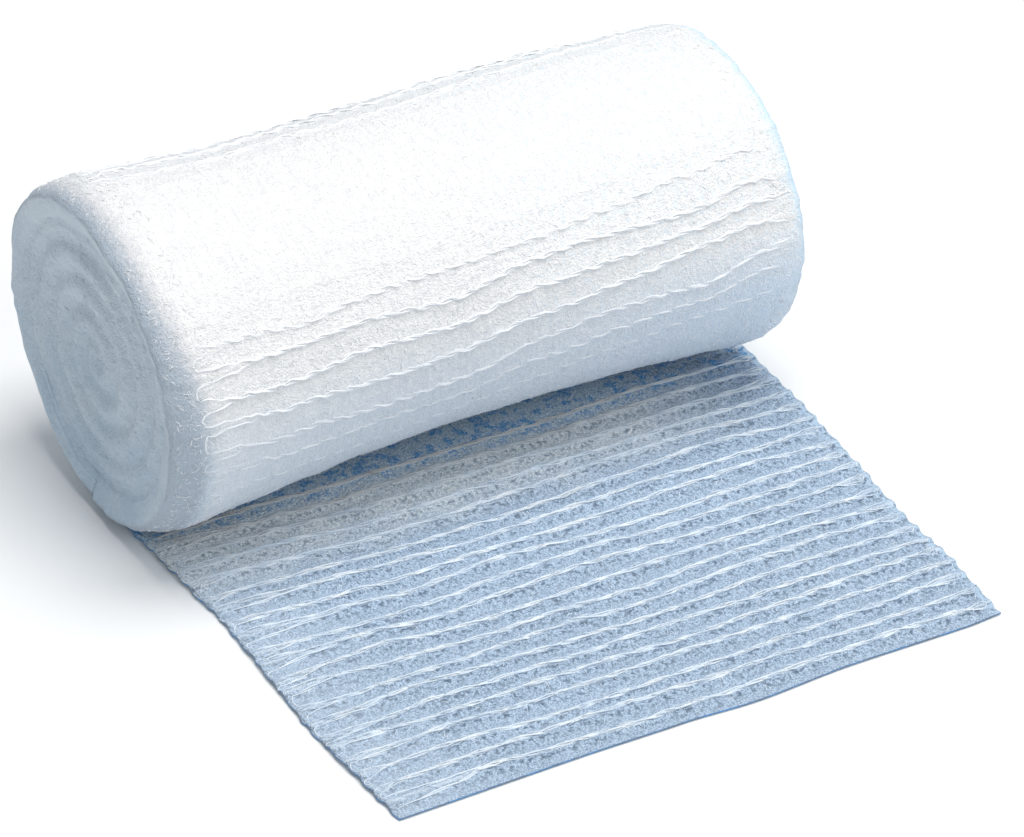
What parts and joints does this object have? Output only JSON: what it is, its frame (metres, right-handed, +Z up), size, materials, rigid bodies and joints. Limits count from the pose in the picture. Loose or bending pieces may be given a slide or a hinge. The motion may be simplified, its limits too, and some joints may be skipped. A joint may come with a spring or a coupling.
{
  "type": "gauze bandage roll",
  "caption": "Conforming gauze bandage, wound into a soft oval roll with raised weft ribs, its loose end laid flat in front with looped selvedges and a plain cut edge.",
  "frame": {"origin": "under the middle of the whole part, on the surface that it rests on", "axes": "+X along the roll, +Y from the cut end towards the roll, +Z up"},
  "size_m": [0.0806, 0.087, 0.0398],
  "materials": {
    "roll_gauze": "soft matt white crepe gauze, many turns deep",
    "loose_gauze": "single layer of sheer crepe gauze with white weft bundles"
  },
  "bodies": {
    "root": {"wound_roll": "roll_gauze", "loose_end": "loose_gauze"}
  },
  "joints": []
}
